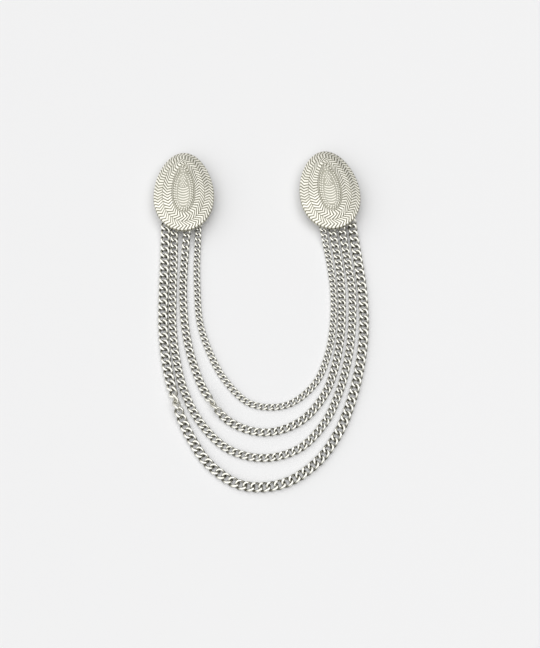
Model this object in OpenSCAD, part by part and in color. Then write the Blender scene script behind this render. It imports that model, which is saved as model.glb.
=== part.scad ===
// A lapel chain: two egg-shaped brooches joined by four curb chains, lying flat.
// Millimetres. X runs across, Y runs up the brooches, Z is up, and the floor is Z = 0.

/* [Plates] */
// Width of a plate at its widest
plate_w = 26.6; // [24:0.2:29]
// Height of a plate from its narrow top to its broad foot
plate_h = 39.8; // [37:0.2:43]
// How much narrower the top is than the foot, as a share of the width
plate_taper = 0.12; // [0.06:0.01:0.18]
// Thickness of the metal
plate_wall = 1.2; // [1:0.1:1.5]
// Rise of the dome from the rim to the middle
dome_rise = 2; // [1.2:0.1:2.8]
// Height of the rim's underside above the floor
plate_lift = 3.8; // [3.4:0.1:4.6]
// Distance between the middles of the two plates
plate_spread = 64.4; // [60:0.2:68]
// Turn of the left plate, positive with its top leaning left
left_turn = 2; // [-6:1:10]
// Turn of the right plate, positive with its top leaning left
right_turn = 7; // [-2:1:12]

/* [Relief] */
// Height of the raised strokes
relief_rise = 0.4; // [0.2:0.05:0.6]
// Width of the smooth rim
rim_w = 0.6; // [0.5:0.1:0.9]
// Width of the narrow band of slanted strokes along the rim
edge_band_w = 1.3; // [1.1:0.05:1.5]
// Width of each of the three other bands of slanted strokes
band_w = 2.1; // [1.8:0.05:2.15]
// Strokes in each of the two outer bands
outer_strokes = 63; // [48:1:76]
// Strokes in each of the two inner bands
inner_strokes = 46; // [36:1:56]
// Beads in the ring round the middle panel
bead_count = 38; // [24:2:44]
// Width of the middle panel
panel_w = 5; // [4:0.2:5.6]
// Height of the middle panel
panel_h = 16; // [13:0.5:17]
// Bars stacked in the broad part of the middle panel
bar_count = 7; // [4:1:8]

/* [Pins] */
// Length of the pin back's strip
pin_l = 16; // [12:0.5:18]
// Width of the pin back's strip
strip_w = 3.4; // [2.6:0.2:4.4]
// Thickness of the pin back's strip
strip_t = 0.7; // [0.5:0.1:1]
// Diameter of the pin's stem
stem_d = 0.9; // [0.7:0.1:1.2]
// Height of the stem's axis above the floor
stem_z = 1.4; // [1:0.1:1.8]

/* [Chains] */
// Wire of the outer chain
outer_wire = 0.95; // [0.8:0.05:1.1]
// Width of the outer chain
outer_w = 4.2; // [3.9:0.1:4.4]
// Distance from one link of the outer chain to the next, before it is fitted to the route
outer_pitch = 3.17; // [3:0.05:3.6]
// Wire of the third chain
third_wire = 0.8; // [0.66:0.02:0.94]
// Width of the third chain
third_w = 3.4; // [3:0.1:3.6]
// Wire of the second chain
second_wire = 0.8; // [0.66:0.02:0.94]
// Width of the second chain
second_w = 3.4; // [3:0.1:3.6]
// Wire of the inner chain
inner_wire = 0.66; // [0.54:0.02:0.78]
// Width of the inner chain
inner_w = 2.8; // [2.4:0.1:3]
// Wire of the soldered loops that the chains hang from
loop_wire = 0.8; // [0.6:0.05:0.9]
// How far inside the rim's edge the loops stand
loop_inset = 2; // [1.8:0.1:2.6]

/* [Hidden] */

SILVER = [0.80, 0.79, 0.75];
STEEL = [0.66, 0.66, 0.66];

// Centres of the two plates on the floor plan, set off from the middle of the whole part
PLATES_MIDDLE = -1.2;
LEFT_AT = [PLATES_MIDDLE - plate_spread / 2, 58.2];
RIGHT_AT = [PLATES_MIDDLE + plate_spread / 2, 59.1];

// Where each chain's loop stands on a plate, in degrees clockwise from the top of the egg
LEFT_LOOPS = [221, 200, 174, 149];
RIGHT_LOOPS = [142, 167, 187, 206];

// Routes of the chains on the floor between their two loops, chosen by hand
OUTER_ROUTE = [[-41, 25], [-41, 9], [-40.5, -7], [-38.5, -23], [-34.5, -39], [-28.5, -54],
               [-19.5, -67.5], [-6.5, -76], [9.5, -75.5], [23, -67], [32.5, -54], [38.5, -39],
               [42.5, -23], [44.5, -7], [44.5, 9], [43, 25]];
THIRD_ROUTE = [[-37, 25], [-37, 9.5], [-36.5, -6], [-34.5, -21], [-30.5, -36], [-23.5, -49.5],
               [-12.5, -60.5], [2, -64.5], [16.5, -60.5], [27, -49.5], [33.5, -35.5],
               [37.5, -20.5], [39.5, -5.5], [40, 10], [38.5, 25]];
SECOND_ROUTE = [[-32.5, 24], [-32.5, 8], [-31, -7.5], [-27.5, -22.5], [-21.5, -37],
                [-11.5, -49], [3, -53.5], [17.5, -48.5], [27.5, -36.5], [32.5, -22],
                [35, -6.5], [35.5, 9], [34.5, 24.5]];
INNER_ROUTE = [[-27, 26], [-26.5, 11], [-25, -4], [-20.5, -18], [-13.5, -31], [-3, -41],
               [11.5, -41.5], [23, -32.5], [29, -19], [31.5, -4.5], [32, 10.5], [30.5, 25.5]];
ROUTES = [OUTER_ROUTE, THIRD_ROUTE, SECOND_ROUTE, INNER_ROUTE];

// Small clearances
seat_gap = 0.12; // between the pin back and the plate, and between a tube's end and its loop
rim_gap = 0.25; // between the rim and the chain that passes under it
link_play = 0.28; // between the wires of neighbouring links, along the chain
hole_play = 0.22; // between a loop and the wire that passes through it
sink = 0.3; // how deep soldered pieces reach into the plate

// Curb links, as rings with a sideways twist
link_sides = 10;
wire_sides = 5;
twist_share = 0.7; // the wire rises and falls by this share of its diameter
tube_sides = 8;
tube_step = 3; // diameters from one ring of a tube to the next
drop_run = 14; // length over which a chain comes down from its loop to the floor
probe = 1; // distance to each side at which a tube's direction is read
smooth_steps = 8; // route samples between two chosen points

// Egg outlines: the angle t runs clockwise from the narrow top
function egg_point(w, h, t) = [w / 2 * sin(t) * (1 - plate_taper * cos(t)), h / 2 * cos(t)];

function running_length(p) =
  [for (i = 0, s = 0; i < len(p); s = s + (i + 1 < len(p) ? norm(p[i + 1] - p[i]) : 0), i = i + 1) s];

// Angles against the share of the outline's length, so that strokes are spaced evenly
function even_table(w, h, n = 48) =
  let (p = [for (k = [0 : n]) egg_point(w, h, k * 360 / n)], s = running_length(p))
  [for (k = [0 : n]) [s[k] / s[n], k * 360 / n]];

function outline_length(w, h, n = 48) =
  running_length([for (k = [0 : n]) egg_point(w, h, k * 360 / n)])[n];

function egg_ring(ring) =
  let (w = ring[0], h = ring[1], dy = ring[2], n = ring[3], shift = ring[4],
       z = ring[5], rise = ring[6], table = even_table(w, h), back = shift / outline_length(w, h))
  [for (i = [0 : n - 1])
    let (share = (i / n - back + 1) % 1, p = egg_point(w, h, lookup(share, table)))
    [p[0], p[1] + dy, z + (i % 2 == 0 ? rise : 0)]];

// Triangles between two rings with different numbers of points
function stitch(a, n, b, m) = concat(
  [for (i = [0 : n - 1]) [a + i, a + (i + 1) % n, b + floor((i + 0.5) * m / n + 0.5) % m]],
  [for (j = [0 : m - 1]) [b + (j + 1) % m, b + j, a + ceil((j + 0.5) * n / m - 0.5) % n]]);

function first_index(rings, k) = k == 0 ? 0 : first_index(rings, k - 1) + rings[k - 1][3];

// The plate's own levels, measured from the underside of its rim
function dome(inset) = dome_rise * (1 - pow(1 - inset / (plate_w / 2), 2));

function ring_at(inset, n, shift, z, rise) =
  [plate_w - 2 * inset, plate_h - 2 * inset, 0, n, shift, z, rise];

outer_fold = rim_w + edge_band_w;
inner_start = outer_fold + band_w;
inner_fold = inner_start + band_w;
bands_end = inner_fold + band_w;
groove = 0.12; // width of the narrow slopes that end a row of chevrons
stroke_lean = 45; // lean of the strokes from the edge of each row to its fold
thin_ring_w = 0.5; // width of the thin ring inside the bands
frame_w = 0.5; // width of the frame round the middle panel
panel_inset = (plate_w - panel_w) / 2;
bead_inset = (bands_end + thin_ring_w + panel_inset - frame_w) / 2;
panel_up = -0.9; // height of the panel's middle above the plate's middle
panel_sunk = 0.1; // depth of the middle panel below the beads' ground
panel_floor = plate_wall + dome(panel_inset) - panel_sunk;
back_n = 32; // points in each ring of the back
pin_up = 2; // the pin back lies this far above the plate's middle
pin_in = 0.7; // the strip's corners are nearer to the rim than its ends by this much
post_l = 2.2; // length of a post along the strip
post_share = 0.7; // width of a post, as a share of the strip's

function relief_ring(inset, n, shift) =
  ring_at(inset, n, shift, plate_wall + dome(inset), relief_rise);
function ground_ring(inset, n) = ring_at(inset, n, 0, plate_wall + dome(inset), 0);
function panel_ring(grow, z) =
  [panel_w + 2 * grow, panel_h + 2 * grow, panel_up, bead_count, 0, z, 0];

// Rings from the middle of the back, round the rim, to the middle panel on the front:
// [width, height, shift along Y, points, sideways shift of the strokes, level, rise of every second point]
back_rings = [for (share = [0.4, 0.28, 0.16, 0.07])
  ring_at(plate_w * share, back_n, 0, dome(plate_w * share), 0)];
rim_rings = [
  ring_at(rim_w, back_n, 0, 0, 0),
  ring_at(rim_w * 0.15, back_n, 0, 0, 0),
  ring_at(0, outer_strokes, 0, plate_wall * 0.6, 0),
  ring_at(rim_w * 0.4, outer_strokes, 0, plate_wall + relief_rise * 0.6, 0),
  ground_ring(rim_w, outer_strokes)];
outer_rings = [
  relief_ring(rim_w + groove, 2 * outer_strokes, 0),
  relief_ring(outer_fold, 2 * outer_strokes, edge_band_w * tan(stroke_lean)),
  relief_ring(inner_start - groove, 2 * outer_strokes, 0),
  ground_ring(inner_start, inner_strokes)];
inner_rings = [
  relief_ring(inner_start + groove, 2 * inner_strokes, 0),
  relief_ring(inner_fold, 2 * inner_strokes, band_w * tan(stroke_lean)),
  relief_ring(bands_end - groove, 2 * inner_strokes, 0),
  ground_ring(bands_end, bead_count)];
panel_rings = [
  ring_at(bands_end + thin_ring_w / 2, bead_count, 0, plate_wall + dome(bands_end) + relief_rise, 0),
  ground_ring(bands_end + thin_ring_w, bead_count),
  relief_ring(bead_inset, 2 * bead_count, 0),
  panel_ring(frame_w, plate_wall + dome(panel_inset)),
  panel_ring(frame_w * 0.4, plate_wall + dome(panel_inset) + relief_rise * 0.7),
  panel_ring(0, panel_floor)];
plate_rings = concat(back_rings, rim_rings, outer_rings, inner_rings, panel_rings);

module egg_shell() {
  count = len(plate_rings);
  points = [for (ring = plate_rings) each egg_ring(ring)];
  last = first_index(plate_rings, count - 1);
  back_middle = len(points);
  sides = [for (k = [0 : count - 2])
    each stitch(first_index(plate_rings, k), plate_rings[k][3],
                first_index(plate_rings, k + 1), plate_rings[k + 1][3])];
  back = [for (i = [0 : back_n - 1]) [back_middle, (i + 1) % back_n, i]];
  front = [[for (i = [0 : bead_count - 1]) last + i]];
  polyhedron(points = concat(points, [[0, 0, dome(plate_w / 2)]]), faces = concat(sides, back, front));
}

// Bars of the middle panel
bar_t = 0.55; // width of a bar
bar_steps = 3; // straight stretches in each half of a bar
bar_root = 0.15; // depth to which a bar reaches below the panel's floor
bar_bend = 0.28; // rise of a bar's ends, as a share of half its length
bars_share = 0.54; // share of the panel's height that the stacked bars fill
bar_margin = 0.35; // from a bar's end to the panel's edge
foot_margin = 0.9; // from the panel's foot to the lowest bar
upper_bars = [[0.26, 0.7], [0.19, 0.79], [0.12, 0.88]]; // [half length, height] in shares of the panel

// One smile-shaped bar, from half its length and its height on the panel
module panel_bar(half_l, y) {
  arc = [for (k = [-bar_steps : bar_steps])
    [k / bar_steps * half_l, bar_bend * half_l * pow(k / bar_steps, 2)]];
  translate([0, y, panel_floor - bar_root])
    linear_extrude(height = bar_root + relief_rise)
      polygon(concat(arc, [for (k = [2 * bar_steps : -1 : 0]) arc[k] + [0, bar_t]]));
}

module panel_bars() {
  foot = panel_up - panel_h / 2;
  pitch = panel_h * bars_share / bar_count;
  for (k = [0 : bar_count - 1]) {
    y = foot + foot_margin + k * pitch;
    share = (y + bar_t - panel_up) / (panel_h / 2);
    panel_bar(panel_w / 2 * sqrt(1 - share * share) * (1 - plate_taper * share) - bar_margin, y);
  }
  for (bar = upper_bars) {
    panel_bar(panel_w * bar[0], foot + panel_h * bar[1]);
  }
}

// Height of a link's outermost wire above its middle, and the place of the tips
function link_reach(pitch, wire) = (pitch + wire + link_play) / 2;
function link_rise(wire) = twist_share * wire;
function rest_height(wire) = link_rise(wire) * sin(3 * 360 / link_sides) + wire / 2;

function turned(p, a) = [p[0] * cos(a) - p[1] * sin(a), p[0] * sin(a) + p[1] * cos(a)];

// A soldered loop: its place under the plate and the radius of its wire's middle line
function loop_radius(wire) = (wire + loop_wire) / 2 + hole_play;
function loop_local(t) = egg_point(plate_w - 2 * loop_inset, plate_h - 2 * loop_inset, t);
function loop_on_floor(at, turn, t) = at + turned(loop_local(t), turn);

WIRES = [outer_wire, third_wire, second_wire, inner_wire];
WIDTHS = [outer_w, third_w, second_w, inner_w];

// The wire at a link's tip slopes sideways, and the loop leans to let it through squarely
function tip_slope(k) =
  atan2(2 * link_rise(WIRES[k]) * sin(360 / link_sides), (WIDTHS[k] - WIRES[k]) * sin(180 / link_sides));

// Height of a loop's middle, low enough for its chain to pass under the rim
function loop_z(k) = plate_lift - rim_gap - rest_height(WIRES[k]);

// Turn of a loop, so that it stands in line with the chain that leaves it for the point next
function loop_heading(from, next) = atan2(next[1] - from[1], next[0] - from[0]) + 90;

// The loops, each with a short peg from its top into the back of the plate
module loops(at, turn, angles, nexts) {
  for (k = [0 : 3]) {
    p = loop_local(angles[k]);
    radius = loop_radius(WIRES[k]);
    peg_z = radius * cos(tip_slope(k));
    translate([p[0], p[1], loop_z(k) - plate_lift])
      rotate([0, 0, loop_heading(loop_on_floor(at, turn, angles[k]), nexts[k]) - turn]) {
        rotate([0, 90 - tip_slope(k), 0])
          rotate_extrude($fn = 40) translate([radius, 0]) circle(d = loop_wire, $fn = 20);
        translate([-radius * sin(tip_slope(k)), 0, peg_z])
          cylinder(d = loop_wire, h = plate_lift + dome(loop_inset) + sink - loop_z(k) - peg_z, $fn = 20);
      }
  }
}

module plate(at, turn, angles, nexts) {
  translate([at[0], at[1], plate_lift]) rotate([0, 0, turn]) {
    egg_shell();
    panel_bars();
    loops(at, turn, angles, nexts);
  }
}

// The pin back: a strip behind the plate, two posts that stand on the floor, and the stem
module pin_back(at, turn) {
  strip_top = plate_lift + dome((plate_w - pin_l) / 2 - pin_in) - seat_gap;
  strip_z = strip_top - strip_t;
  post_w = strip_w * post_share;
  post_h = strip_z + strip_t / 2;
  translate([at[0], at[1] + pin_up, 0]) rotate([0, 0, turn]) {
    translate([-pin_l / 2, -strip_w / 2, strip_z]) cube([pin_l, strip_w, strip_t]);
    for (side = [-1, 1]) {
      translate([side * (pin_l - post_l) / 2, 0, post_h / 2]) cube([post_l, post_w, post_h], center = true);
    }
    translate([-pin_l / 2 + post_l / 2, 0, stem_z])
      rotate([0, 90, 0]) cylinder(d = stem_d, h = pin_l - post_l, $fn = 24);
  }
}

// A smooth curve through the chosen points
function spline_point(p, i, t) =
  let (a = p[max(i - 1, 0)], b = p[i], c = p[i + 1], d = p[min(i + 2, len(p) - 1)])
  0.5 * (2 * b + (c - a) * t + (2 * a - 5 * b + 4 * c - d) * t * t
         + (3 * b - a - 3 * c + d) * t * t * t);

function smooth_route(p) = concat(
  [for (i = [0 : len(p) - 2]) for (k = [0 : smooth_steps - 1]) spline_point(p, i, k / smooth_steps)],
  [p[len(p) - 1]]);

function whole_route(k) = smooth_route(concat(
  [loop_on_floor(LEFT_AT, left_turn, LEFT_LOOPS[k])], ROUTES[k],
  [loop_on_floor(RIGHT_AT, right_turn, RIGHT_LOOPS[k])]));

// How far a chain is lifted towards its loop, at a distance from the chain's end
function lift_share(d) = d >= drop_run ? 0 : 0.5 + 0.5 * cos(180 * d / drop_run);

// Place on a chain at the length s: [x, y, z]
function chain_place(tables, total, low, high, s) =
  [lookup(s, tables[0]), lookup(s, tables[1]),
   low + (high - low) * (lift_share(s) + lift_share(total - s))];

function route_tables(p, s) =
  [[for (i = [0 : len(p) - 1]) [s[i], p[i][0]]], [for (i = [0 : len(p) - 1]) [s[i], p[i][1]]]];

// One link: its wire's middle line is a ring that rises and falls twice
function link_line(a, b, c, t) = [a * cos(t), b * sin(t), -c * sin(2 * t)];
function link_course(a, b, c, t) = [-a * sin(t), b * cos(t), -2 * c * cos(2 * t)];
function unit(v) = v / norm(v);

module curb_link(pitch, wire, width) {
  a = link_reach(pitch, wire) / cos(180 / link_sides);
  b = (width - wire) / 2;
  c = link_rise(wire);
  points = [for (i = [0 : link_sides - 1])
    let (t = (i + 0.5) * 360 / link_sides, along = unit(link_course(a, b, c, t)),
         out = unit(cross(along, [0, 0, 1])), up = cross(out, along))
    for (k = [0 : wire_sides - 1])
      let (u = k * 360 / wire_sides)
      link_line(a, b, c, t) + wire / 2 * (cos(u) * out + sin(u) * up)];
  faces = [for (i = [0 : link_sides - 1]) for (k = [0 : wire_sides - 1])
    let (j = (i + 1) % link_sides, m = (k + 1) % wire_sides)
    each [[i * wire_sides + k, j * wire_sides + m, j * wire_sides + k],
          [i * wire_sides + k, i * wire_sides + m, j * wire_sides + m]]];
  polyhedron(points = points, faces = faces);
}

module linked_chain(k, nominal) {
  wire = WIRES[k];
  p = whole_route(k);
  s = running_length(p);
  total = s[len(s) - 1];
  tables = route_tables(p, s);
  count = round((total - wire - link_play) / nominal);
  pitch = (total - wire - link_play) / count;
  low = rest_height(wire);
  high = loop_z(k);
  for (i = [0 : count - 1]) {
    middle = link_reach(pitch, wire) + i * pitch;
    front = chain_place(tables, total, low, high, middle + pitch / 2);
    back = chain_place(tables, total, low, high, middle - pitch / 2);
    run = front - back;
    translate(chain_place(tables, total, low, high, middle))
      rotate([0, -atan2(run[2], norm([run[0], run[1]])), atan2(run[1], run[0])])
        curb_link(pitch, wire, WIDTHS[k]);
  }
}

// A flat tube with the outline of a finer chain, swept along its route
module chain_tube(k) {
  wire = WIRES[k];
  wide = WIDTHS[k] / 2;
  tall = rest_height(wire);
  p = whole_route(k);
  s = running_length(p);
  total = s[len(s) - 1];
  tables = route_tables(p, s);
  margin = loop_radius(wire) + loop_wire / 2 + seat_gap;
  rings = round((total - 2 * margin) / (tube_step * WIDTHS[k]));
  step = (total - 2 * margin) / rings;
  points = [for (i = [0 : rings])
    let (here = margin + i * step,
         at = chain_place(tables, total, tall, loop_z(k), here),
         ahead = chain_place(tables, total, tall, loop_z(k), min(here + probe, total)),
         behind = chain_place(tables, total, tall, loop_z(k), max(here - probe, 0)),
         along = unit(ahead - behind), side = unit(cross([0, 0, 1], along)), up = cross(along, side))
    for (j = [0 : tube_sides - 1])
      let (u = (j + 0.5) * 360 / tube_sides, full = 1 / cos(180 / tube_sides))
      at + full * (wide * cos(u) * side + tall * sin(u) * up)];
  walls = [for (i = [0 : rings - 1]) for (j = [0 : tube_sides - 1])
    let (a = i * tube_sides, b = a + tube_sides, m = (j + 1) % tube_sides)
    each [[a + j, b + j, b + m], [a + j, b + m, a + m]]];
  polyhedron(points = points, faces = concat(walls,
    [[for (j = [0 : tube_sides - 1]) j]],
    [[for (j = [0 : tube_sides - 1]) rings * tube_sides + tube_sides - 1 - j]]));
}

module plate_left() {
  color(SILVER) plate(LEFT_AT, left_turn, LEFT_LOOPS, [for (route = ROUTES) route[0]]);
}

module plate_right() {
  color(SILVER) plate(RIGHT_AT, right_turn, RIGHT_LOOPS, [for (route = ROUTES) route[len(route) - 1]]);
}

module pin_left() {
  color(STEEL) pin_back(LEFT_AT, left_turn);
}

module pin_right() {
  color(STEEL) pin_back(RIGHT_AT, right_turn);
}

module chain_outer() {
  color(STEEL) linked_chain(0, outer_pitch);
}

module chain_third() {
  color(STEEL) chain_tube(1);
}

module chain_second() {
  color(STEEL) chain_tube(2);
}

module chain_inner() {
  color(STEEL) chain_tube(3);
}

plate_left();
plate_right();
pin_left();
pin_right();
chain_outer();
chain_third();
chain_second();
chain_inner();
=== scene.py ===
"""A lapel chain lying on a pale floor: two egg-shaped brooches in herringbone relief and four curb chains.

Sizes are in millimetres unless a line says otherwise, and each mesh is turned into metres where it is made.
X runs across, Y runs up the brooches, and the floor is at height 0.
"""
import logging
import math
from dataclasses import dataclass, field
from enum import Enum

import bpy
import numpy as np
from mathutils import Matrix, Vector


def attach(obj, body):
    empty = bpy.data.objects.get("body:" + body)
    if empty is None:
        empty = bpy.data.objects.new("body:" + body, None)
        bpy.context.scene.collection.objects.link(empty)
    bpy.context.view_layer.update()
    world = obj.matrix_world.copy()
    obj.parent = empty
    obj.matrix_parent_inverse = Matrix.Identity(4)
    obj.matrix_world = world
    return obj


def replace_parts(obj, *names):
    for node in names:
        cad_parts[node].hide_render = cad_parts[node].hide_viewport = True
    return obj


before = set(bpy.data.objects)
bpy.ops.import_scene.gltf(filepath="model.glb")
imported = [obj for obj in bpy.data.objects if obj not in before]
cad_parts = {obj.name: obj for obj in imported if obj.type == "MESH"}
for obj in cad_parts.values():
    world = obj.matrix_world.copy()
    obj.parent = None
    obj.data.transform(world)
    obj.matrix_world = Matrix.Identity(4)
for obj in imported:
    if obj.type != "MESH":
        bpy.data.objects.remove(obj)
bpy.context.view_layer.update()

MM = 0.001
BODY = "root"
PHOTO_SIZE = (540, 648)  # in pixels
FULL_TURN = np.linspace(0.0, 2 * math.pi, 361)  # every degree of a turn
TINY = 1e-6  # keeps a division off zero
STEEP = 0.9  # a wire that starts steeper than this is framed from X, not from the vertical
PLATE_LIFT = 3.8  # height of the plates' rims above the floor
log = logging.getLogger("lapel_chain")

Pair = tuple[float, float]
Triple = tuple[float, float, float]
Point = Pair
Colour = Triple
Leans = tuple[float, Triple]


class Slot(Enum):
    """The record's material slots."""

    PLATE = "plate_metal"
    CHAIN = "chain_metal"
    PIN = "pin_metal"


class Side(Enum):
    """The two brooches, by the word that ends their nodes' names."""

    LEFT = "left"
    RIGHT = "right"


class Axis(Enum):
    """The axes that a part can turn about, by their places in a point."""

    X = 0
    Y = 1
    Z = 2


def smooth_step(value: np.ndarray, low: float, high: float) -> np.ndarray:
    """Rises from 0 to 1 as a value goes from low to high.

    Args:
        value: The values.
        low: Where the step starts.
        high: Where it ends.

    Returns:
        The shares, with the values' shape.
    """
    share = np.clip((value - low) / (high - low), 0.0, 1.0)
    return share * share * (3.0 - 2.0 * share)


def rotation(axis: Axis, angle: float) -> np.ndarray:
    """A turn about an axis.

    Args:
        axis: The axis.
        angle: The angle, in radians.

    Returns:
        The turn, as a matrix.
    """
    first, second = (axis.value + 1) % 3, (axis.value + 2) % 3
    turn = np.eye(3)
    turn[first, first] = turn[second, second] = math.cos(angle)
    turn[second, first] = math.sin(angle)
    turn[first, second] = -math.sin(angle)
    return turn


def stitch(first: int, n: int, second: int, m: int) -> list[tuple[int, ...]]:
    """Faces between two closed rings of points.

    Args:
        first: Index of the first ring's first point.
        n: Points in the first ring.
        second: Index of the second ring's first point.
        m: Points in the second ring.

    Returns:
        Quads where the rings have as many points, and triangles otherwise.
    """
    if n == m:
        return [(first + i, first + (i + 1) % n, second + (i + 1) % m, second + i) for i in range(n)]
    faces = [(first + i, first + (i + 1) % n, second + int((i + 0.5) * m / n + 0.5) % m) for i in range(n)]
    faces += [(second + (j + 1) % m, second + j, first + math.ceil((j + 0.5) * n / m - 0.5) % n)
              for j in range(m)]
    return faces


@dataclass
class MeshPart:
    """A part of a mesh.

    Attributes:
        points: Its points, one row each.
        faces: Its faces, each by the places of its corners among the points.
        hollow: How hollow each point lies, from 0 on a ridge to 1 in a groove, which sets how much painted
            shade darkens its colour.
    """

    points: np.ndarray
    faces: list[tuple[int, ...]]
    hollow: np.ndarray

    def moved(self, turn: np.ndarray, at: np.ndarray) -> "MeshPart":
        """A copy of the part.

        Args:
            turn: The rotation.
            at: The place, after the turn.

        Returns:
            The moved copy.
        """
        return MeshPart(self.points @ turn.T + at, self.faces, self.hollow)


def make_piece(name: str, parts: list[MeshPart]) -> bpy.types.Object:
    """Joins parts into one smooth object that rides on the body.

    Args:
        name: The piece's name.
        parts: Its parts, in millimetres.

    Returns:
        The object.
    """
    points = np.concatenate([part.points for part in parts]) * MM
    hollow = np.concatenate([part.hollow for part in parts])
    faces: list[tuple[int, ...]] = []
    start = 0
    for part in parts:
        faces += [tuple(start + i for i in face) for face in part.faces]
        start += len(part.points)
    mesh = bpy.data.meshes.new(name)
    mesh.from_pydata(points.tolist(), [], faces)
    mesh.polygons.foreach_set("use_smooth", np.ones(len(mesh.polygons), bool))
    # The hollow attribute carries the painted shade, which the metal finish reads to darken the colour.
    attribute = mesh.attributes.new("hollow", "FLOAT", "POINT")
    attribute.data.foreach_set("value", hollow.astype(np.float32))
    mesh.update()
    piece = bpy.data.objects.new(name, mesh)
    bpy.context.scene.collection.objects.link(piece)
    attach(piece, BODY)
    return piece


@dataclass(frozen=True)
class MetalFinish:
    """A metal, bright on its ridges and darkened in its hollows by painted shade, where it is also rougher.

    Attributes:
        name: The material's name.
        ridge: Colour of the open surface.
        hollow: Painted shade colour, which the metal takes deep in the relief or between links.
        roughness: Roughness of the open surface.
        dullness: What the hollows add to the roughness.
        cloud: How much slow clouds in it change the roughness.
        grain_size: Size of the fine grain, in millimetres.
        grain_height: Height of the fine grain, in millimetres.
        grain_detail: Finer layers in the grain.
        clouds_per_mm: How many clouds lie along a millimetre.
        cloud_detail: Finer layers in the clouds.
    """

    name: str
    ridge: Colour
    hollow: Colour
    roughness: float
    dullness: float
    cloud: float
    grain_size: float
    grain_height: float
    grain_detail: float = 2.0
    clouds_per_mm: float = 0.35
    cloud_detail: float = 3.0

    def noise(self, tree: bpy.types.NodeTree, scale: float, detail: float) -> bpy.types.NodeSocket:
        """Adds a noise that keeps its place on the piece.

        Args:
            tree: The material's nodes.
            scale: Its patches along a metre.
            detail: Its finer layers.

        Returns:
            The socket of its value.
        """
        place = tree.nodes.new("ShaderNodeTexCoord")
        noise = tree.nodes.new("ShaderNodeTexNoise")
        noise.inputs["Scale"].default_value = scale
        noise.inputs["Detail"].default_value = detail
        tree.links.new(place.outputs["Object"], noise.inputs["Vector"])
        return noise.outputs["Fac"]

    def material(self) -> bpy.types.Material:
        """Builds the procedural material.

        Returns:
            The material.
        """
        material = bpy.data.materials.new(self.name)
        material.use_nodes = True
        nodes, links = material.node_tree.nodes, material.node_tree.links
        shader = nodes["Principled BSDF"]
        shader.inputs["Metallic"].default_value = 1.0
        # Painted shade: the base colour darkens from the ridge colour towards the hollow colour as the
        # hollow attribute rises.
        depth = nodes.new("ShaderNodeAttribute")
        depth.attribute_name = "hollow"
        painted_shade_mix = nodes.new("ShaderNodeMix")
        painted_shade_mix.data_type = "RGBA"
        painted_shade_mix.inputs["A"].default_value = (*self.ridge, 1.0)
        painted_shade_mix.inputs["B"].default_value = (*self.hollow, 1.0)
        links.new(depth.outputs["Fac"], painted_shade_mix.inputs["Factor"])
        links.new(painted_shade_mix.outputs["Result"], shader.inputs["Base Color"])
        dull = nodes.new("ShaderNodeMath")
        dull.operation = "MULTIPLY_ADD"
        dull.inputs[1].default_value = self.dullness
        links.new(depth.outputs["Fac"], dull.inputs[0])
        cloudy = nodes.new("ShaderNodeMapRange")
        cloudy.inputs["To Min"].default_value = self.roughness - self.cloud
        cloudy.inputs["To Max"].default_value = self.roughness + self.cloud
        clouds = self.noise(material.node_tree, self.clouds_per_mm / MM, self.cloud_detail)
        links.new(clouds, cloudy.inputs["Value"])
        links.new(cloudy.outputs["Result"], dull.inputs[2])
        links.new(dull.outputs["Value"], shader.inputs["Roughness"])
        bump = nodes.new("ShaderNodeBump")
        bump.inputs["Distance"].default_value = self.grain_height * MM
        grain = self.noise(material.node_tree, 1.0 / (self.grain_size * MM), self.grain_detail)
        links.new(grain, bump.inputs["Height"])
        links.new(bump.outputs["Normal"], shader.inputs["Normal"])
        return material


@dataclass(frozen=True)
class FloorFinish:
    """The plain pale floor.

    Attributes:
        name: The material's name.
        colour: Its colour.
        roughness: Its roughness.
        shine: Strength of its faint shine.
    """

    name: str
    colour: Colour
    roughness: float
    shine: float

    def material(self) -> bpy.types.Material:
        """Builds the material.

        Returns:
            The material.
        """
        material = bpy.data.materials.new(self.name)
        material.use_nodes = True
        shader = material.node_tree.nodes["Principled BSDF"]
        shader.inputs["Base Color"].default_value = (*self.colour, 1.0)
        shader.inputs["Roughness"].default_value = self.roughness
        shader.inputs["Specular IOR Level"].default_value = self.shine
        return material


# The hollow colours are painted shade: the plates darken towards them in their grooves and notches, and the
# chains and loops inside their rings, where the wires dip and on their undersides.
CAST_SILVER = MetalFinish("cast_silver_plating", (0.985, 0.965, 0.88), (0.075, 0.07, 0.003),
                          roughness=0.46, dullness=0.12, cloud=0.04, grain_size=0.25, grain_height=0.02)
CHAIN_SILVER = MetalFinish("polished_chain_plating", (0.99, 0.975, 0.89), (0.02, 0.018, 0.0),
                           roughness=0.16, dullness=0.15, cloud=0.03, grain_size=0.4, grain_height=0.01)
PIN_STEEL = MetalFinish("plain_pin_steel", (0.62, 0.62, 0.61), (0.5, 0.5, 0.5),
                        roughness=0.3, dullness=0.0, cloud=0.06, grain_size=0.15, grain_height=0.01)
PALE_FLOOR = FloorFinish("pale_floor", (0.84, 0.84, 0.842), roughness=0.7, shine=0.1)


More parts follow.
